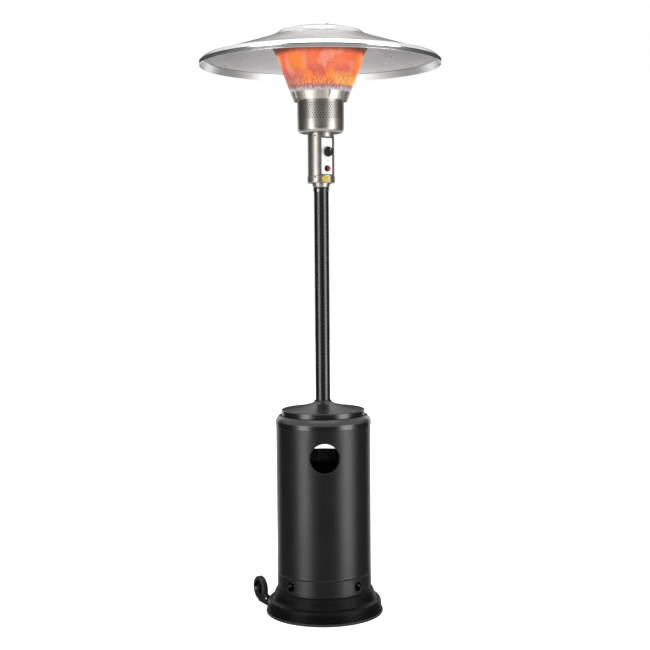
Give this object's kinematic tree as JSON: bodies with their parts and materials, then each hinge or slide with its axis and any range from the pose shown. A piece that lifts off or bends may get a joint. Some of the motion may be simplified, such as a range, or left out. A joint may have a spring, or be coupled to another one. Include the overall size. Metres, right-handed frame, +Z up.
{
  "type": "outdoor gas heater",
  "caption": "Free-standing outdoor gas heater: round stepped base, lift-up cylinder housing, slim post, perforated burner head, flared glowing emitter and wide dished reflector.",
  "frame": {"origin": "centre of the base's underside, on the ground", "axes": "+Z up along the post, -Y towards the front, +X to the viewer's right"},
  "size_m": [0.9232, 0.9234, 2.2565],
  "materials": {
    "black_paint": "satin powder coat",
    "stainless": "brushed",
    "aluminium": "bright rolled sheet",
    "zinc": "zinc plated",
    "brass": "machined",
    "black_plastic": "fine texture",
    "red_plastic": "gloss",
    "white_panel": null,
    "rubber": "matt",
    "concrete": "cast",
    "ceramic": "glazed insulator",
    "hot_screen": "heat-coloured perforated sheet"
  },
  "bodies": {
    "stand": {"base_shell": "black_paint", "base_foot_ring": "rubber", "base_floor": "zinc", "base_ballast": "concrete", "support_leg_1": "zinc", "support_leg_2": "zinc", "support_leg_3": "zinc", "support_leg_4": "zinc", "leg_brace": "zinc", "mounting_plate": "zinc", "post_flange": "black_paint", "post": "black_paint", "head_neck": "stainless", "head_bolt_1": "zinc", "head_bolt_2": "zinc", "head_bolt_3": "zinc", "head_bolt_4": "zinc", "wheel_bracket": "black_paint", "wheel_axle_left": "zinc", "wheel_axle_right": "zinc", "lower_collar": "stainless", "control_housing": "stainless", "control_panel": "white_panel", "gas_valve": "brass", "igniter_body": "black_plastic", "igniter_bezel": "black_plastic", "tilt_switch": "black_plastic", "gas_hose": "rubber", "hose_fitting": "brass", "injector": "brass", "mixer_tube": "stainless", "burner_cup": "stainless", "burner_head": "stainless", "pilot_tube": "aluminium", "pilot_burner": "stainless", "thermocouple": "brass", "spark_electrode": "ceramic", "emitter_base_ring": "stainless", "emitter_screen": "hot_screen", "emitter_top_plate": "stainless", "reflector_stud_1": "zinc", "reflector_stud_2": "zinc", "reflector_stud_3": "zinc", "reflector_panel_1": "aluminium", "reflector_panel_2": "aluminium", "reflector_panel_3": "aluminium", "reflector_cap": "aluminium", "cap_nut_1": "zinc", "cap_nut_2": "zinc", "cap_nut_3": "zinc"},
    "housing": {"housing_tube": "black_paint", "housing_skirt": "black_paint", "housing_top_ring": "black_paint", "housing_lid": "black_paint", "lid_bush": "black_plastic"},
    "valve": {"valve_stem": "brass"},
    "knob": {"control_knob": "black_plastic"},
    "igniter": {"igniter_button": "red_plastic"},
    "wheel_left": {"wheel_left": "black_plastic"},
    "wheel_right": {"wheel_right": "black_plastic"}
  },
  "joints": [
    {"name": "housing_lift", "type": "slide", "parent": "stand", "child": "housing", "axis": [0, 0, 1], "range_m": [0, 0.6]},
    {"name": "valve_turn", "type": "hinge", "parent": "stand", "child": "valve", "pos_m": [0.0234, -0.02995, 1.7866], "axis": [0.6157, -0.788, 0], "range_deg": [0, 180]},
    {"name": "knob_push", "type": "slide", "parent": "valve", "child": "knob", "axis": [-0.6157, 0.788, 0], "range_m": [0, 0.004], "stiffness_N_per_m": 600},
    {"name": "igniter_push", "type": "slide", "parent": "stand", "child": "igniter", "axis": [-0.6157, 0.788, 0], "range_m": [0, 0.008], "stiffness_N_per_m": 600},
    {"name": "wheel_left_spin", "type": "hinge", "parent": "stand", "child": "wheel_left", "pos_m": [-0.11878, 0.22339, 0.0495], "axis": [-0.8829, -0.4695, 0], "continuous": true},
    {"name": "wheel_right_spin", "type": "hinge", "parent": "stand", "child": "wheel_right", "pos_m": [-0.11878, 0.22339, 0.0495], "axis": [-0.8829, -0.4695, 0], "continuous": true}
  ]
}
